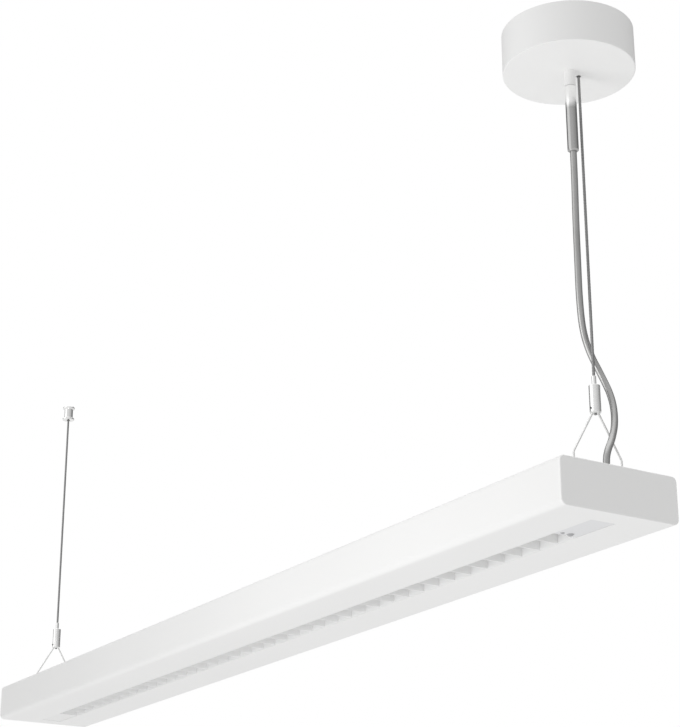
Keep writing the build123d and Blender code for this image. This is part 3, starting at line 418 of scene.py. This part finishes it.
def tube_mesh(name, points, frames, section, sides):
    """Closed tube along the points, smooth along its wall. section(angle, index) is the radius there."""
    vertices = []
    for index, (point, (across, beside)) in enumerate(zip(points, frames)):
        for side_index in range(sides):
            angle = 2 * pi * side_index / sides
            radius = section(angle, index)
            vertices.append(point + across * (radius * cos(angle)) + beside * (radius * sin(angle)))
    faces = []
    for ring in range(len(points) - 1):
        for side_index in range(sides):
            near = ring * sides + side_index
            next_near = ring * sides + (side_index + 1) % sides
            faces.append((near, next_near, next_near + sides, near + sides))
    last = (len(points) - 1) * sides
    faces.append(tuple(reversed(range(sides))))
    faces.append(tuple(range(last, last + sides)))
    mesh = bpy.data.meshes.new(name)
    mesh.from_pydata([tuple(vertex) for vertex in vertices], [], faces)
    for polygon in mesh.polygons:
        polygon.use_smooth = len(polygon.vertices) == 4
    for edge in mesh.edges:
        edge.use_edge_sharp = max(edge.vertices) < sides or min(edge.vertices) >= last
    piece = bpy.data.objects.new(name, mesh)
    bpy.context.scene.collection.objects.link(piece)
    return piece


def cord_section(angle, index):
    """Radius of the cord, the same all round and all along."""
    return CORD_DIAMETER / 2


def rope_section(angle, index):
    """Radius of a rope of round strands, twisted along its length."""
    turn = 2 * pi * index * ROPE_STEP / ROPE_LAY
    groove = abs(sin((angle - turn) * ROPE_STRANDS / 2))
    return ROPE_DIAMETER / 2 * (1 - ROPE_GROOVE * (1 - groove))


def nipple_section(angle, index):
    """Radius of a nipple, eased at both ends."""
    return NIPPLE_DIAMETER / 2 * NIPPLE_PROFILE[index][1]


# Power cord: four stretches of one line
cord_points = spline_points(CORD_ROUTE)
cord_frames = line_frames(cord_points)
stretch_start = 0
for name, end_z, upper_body, lower_body in CORD_STRETCHES:
    inside = [index for index, point in enumerate(cord_points) if point.z >= end_z - HEIGHT_TOLERANCE]
    stretch_end = max(inside)
    piece_points = cord_points[stretch_start : stretch_end + 1]
    piece_frames = cord_frames[stretch_start : stretch_end + 1]
    stretch = tube_mesh(name, piece_points, piece_frames, cord_section, CORD_SIDES)
    set_material(stretch, MATERIALS["cord_sheath"])
    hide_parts("power_cord")
    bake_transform(stretch)
    runs = zip(piece_points, piece_points[1:])
    sum((after - before).length for before, after in runs)
    stretch_start = stretch_end

# Wire ropes: the lay of the strands round each suspension wire, with its cross nipple
for side in ("right", "left"):
    node = f"{side}_suspension_wire"
    low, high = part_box(node)
    wire_x = (low[0] + high[0]) / 2
    top_z = high[2] - NIPPLE_DIAMETER / 2
    count = int((top_z - low[2]) / ROPE_STEP)
    rope_points = [
        Vector((wire_x, 0.0, top_z + (low[2] - top_z) * step / count)) for step in range(count + 1)
    ]
    rope_frames = line_frames(rope_points)
    rope = tube_mesh(f"{side}_wire_rope", rope_points, rope_frames, rope_section, ROPE_SIDES)
    set_material(rope, MATERIALS["wire_steel"])
    nipple_points = [Vector((wire_x, NIPPLE_LENGTH * share, top_z)) for share, _ in NIPPLE_PROFILE]
    nipple_frames = line_frames(nipple_points)
    nipple = tube_mesh(f"{side}_wire_nipple", nipple_points, nipple_frames, nipple_section, NIPPLE_SIDES)
    set_material(nipple, MATERIALS["nickel"])
    for piece in (rope, nipple):
        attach(piece, f"{side}_wire")
        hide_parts(node)


# Studio: a pale floor, a surround of brighter and darker bands, the key light and the camera
def add_floor():
    """Round pale floor far below the light, which neither lights it nor shows in its gloss."""
    bpy.ops.mesh.primitive_circle_add(
        vertices=FLOOR_SIDES,
        radius=FLOOR_RADIUS,
        fill_type="NGON",
        location=FLOOR_CENTRE,
    )
    floor = bpy.context.object
    floor.name = "floor"
    set_material(floor, moulded_plastic("pale floor", FLOOR_COLOUR, roughness=0.8))
    floor.visible_diffuse = False
    floor.visible_glossy = False
    floor.visible_shadow = False
    floor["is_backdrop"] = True


def height_stops(levels):
    """Stops of a ramp from levels by rise: place 0 is straight down and place 1 straight up."""
    return [((rise + 1) / 2, level) for rise, level in levels]


def compass_stops(levels):
    """Stops of a ramp from levels by direction in degrees, from -180 at place 0 to 180 at place 1."""
    return [(degrees / 360 + 0.5, level) for degrees, level in levels]


def add_ramp(tree, source, stops):
    """Level that follows the source by its stops, each a place from 0 to 1 and the level there."""
    node = tree.nodes.new("ShaderNodeValToRGB")
    ramp = node.color_ramp
    ramp.interpolation = "EASE"
    ramp.elements.remove(ramp.elements[0])
    ramp.elements[0].position = stops[0][0]
    for position, _ in stops[1:]:
        ramp.elements.new(position)
    for stop, (_, level) in zip(ramp.elements, stops):
        stop.color = (level, level, level, 1.0)
    tree.links.new(source, node.inputs["Fac"])
    return node.outputs["Color"]


def surround_colour(tree, place, path):
    """Bands by height. Metal and gloss mirror a ring that changes with the compass direction."""
    split = tree.nodes.new("ShaderNodeSeparateXYZ")
    tree.links.new(place.outputs["Generated"], split.inputs["Vector"])
    height = tree.nodes.new("ShaderNodeMapRange")
    height.inputs["From Min"].default_value = -1.0
    tree.links.new(split.outputs["Z"], height.inputs["Value"])
    levels = add_ramp(tree, height.outputs["Result"], height_stops(SURROUND_LEVELS))
    ring = add_ramp(tree, height.outputs["Result"], height_stops(RING_SHARES))
    compass = tree.nodes.new("ShaderNodeTexGradient")
    compass.gradient_type = "RADIAL"
    tree.links.new(place.outputs["Generated"], compass.inputs["Vector"])
    sides = add_ramp(tree, compass.outputs["Fac"], compass_stops(RING_SIDES))
    mirrored = tree.nodes.new("ShaderNodeMath")
    mirrored.operation = "MULTIPLY"
    tree.links.new(ring, mirrored.inputs[0])
    tree.links.new(path.outputs["Is Glossy Ray"], mirrored.inputs[1])
    colour = tree.nodes.new("ShaderNodeMixRGB")
    tree.links.new(mirrored.outputs["Value"], colour.inputs["Fac"])
    tree.links.new(levels, colour.inputs["Color1"])
    tree.links.new(sides, colour.inputs["Color2"])
    return colour.outputs["Color"]


def surround_strength(tree, place):
    """Strength that falls a little from the bright side to the other."""
    side_share = tree.nodes.new("ShaderNodeVectorMath")
    side_share.operation = "DOT_PRODUCT"
    side_share.inputs[1].default_value = BRIGHT_SIDE
    tree.links.new(place.outputs["Generated"], side_share.inputs[0])
    fall = tree.nodes.new("ShaderNodeMapRange")
    fall.inputs["From Min"].default_value = -1.0
    fall.inputs["To Min"].default_value = 1.0 - SIDE_SHARE
    fall.inputs["To Max"].default_value = 1.0 + SIDE_SHARE
    tree.links.new(side_share.outputs["Value"], fall.inputs["Value"])
    return fall.outputs["Result"]


def add_surround():
    """Studio surround: white behind the object, low bright panels, a dark ring and a bright top."""
    world = bpy.data.worlds.new("studio")
    bpy.context.scene.world = world
    world.use_nodes = True
    tree = world.node_tree
    place = tree.nodes.new("ShaderNodeTexCoord")
    path = tree.nodes.new("ShaderNodeLightPath")
    light = tree.nodes["Background"]
    tree.links.new(surround_colour(tree, place, path), light.inputs["Color"])
    tree.links.new(surround_strength(tree, place), light.inputs["Strength"])
    backdrop = tree.nodes.new("ShaderNodeBackground")
    backdrop.inputs["Color"].default_value = (1.0, 1.0, 1.0, 1.0)
    mix = tree.nodes.new("ShaderNodeMixShader")
    tree.links.new(path.outputs["Is Camera Ray"], mix.inputs["Fac"])
    tree.links.new(light.outputs["Background"], mix.inputs[1])
    tree.links.new(backdrop.outputs["Background"], mix.inputs[2])
    tree.links.new(mix.outputs["Shader"], tree.nodes["World Output"].inputs["Surface"])


def turn_towards(direction):
    """Rotation that points a camera or a light along a direction, with its top upwards."""
    return Vector(direction).to_track_quat("-Z", "Y").to_euler()


def add_key_light():
    """Tall soft panel of light that faces its target."""
    light = bpy.data.lights.new("key", "AREA")
    light.shape = "RECTANGLE"
    light.size = KEY_WIDTH
    light.size_y = KEY_HEIGHT
    light.energy = KEY_POWER
    holder = bpy.data.objects.new("key", light)
    holder.location = KEY_PLACE
    holder.rotation_euler = turn_towards(Vector(KEY_TARGET) - Vector(KEY_PLACE))
    holder.visible_camera = False
    bpy.context.scene.collection.objects.link(holder)
    holder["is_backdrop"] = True


def add_camera():
    """Camera at the photograph's viewing angle."""
    data = bpy.data.cameras.new("camera")
    data.sensor_fit = "VERTICAL"
    data.sensor_height = CAMERA_SENSOR_MM
    data.lens = CAMERA_LENS_MM
    data.clip_start = CAMERA_NEAR
    data.clip_end = CAMERA_FAR
    camera = bpy.data.objects.new("camera", data)
    camera.location = CAMERA_PLACE
    camera.rotation_euler = turn_towards(CAMERA_LOOK)
    bpy.context.scene.collection.objects.link(camera)
    bpy.context.scene.camera = camera


add_floor()
add_surround()
add_key_light()
add_camera()
bpy.context.scene.view_settings.view_transform = "Standard"

low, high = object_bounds()
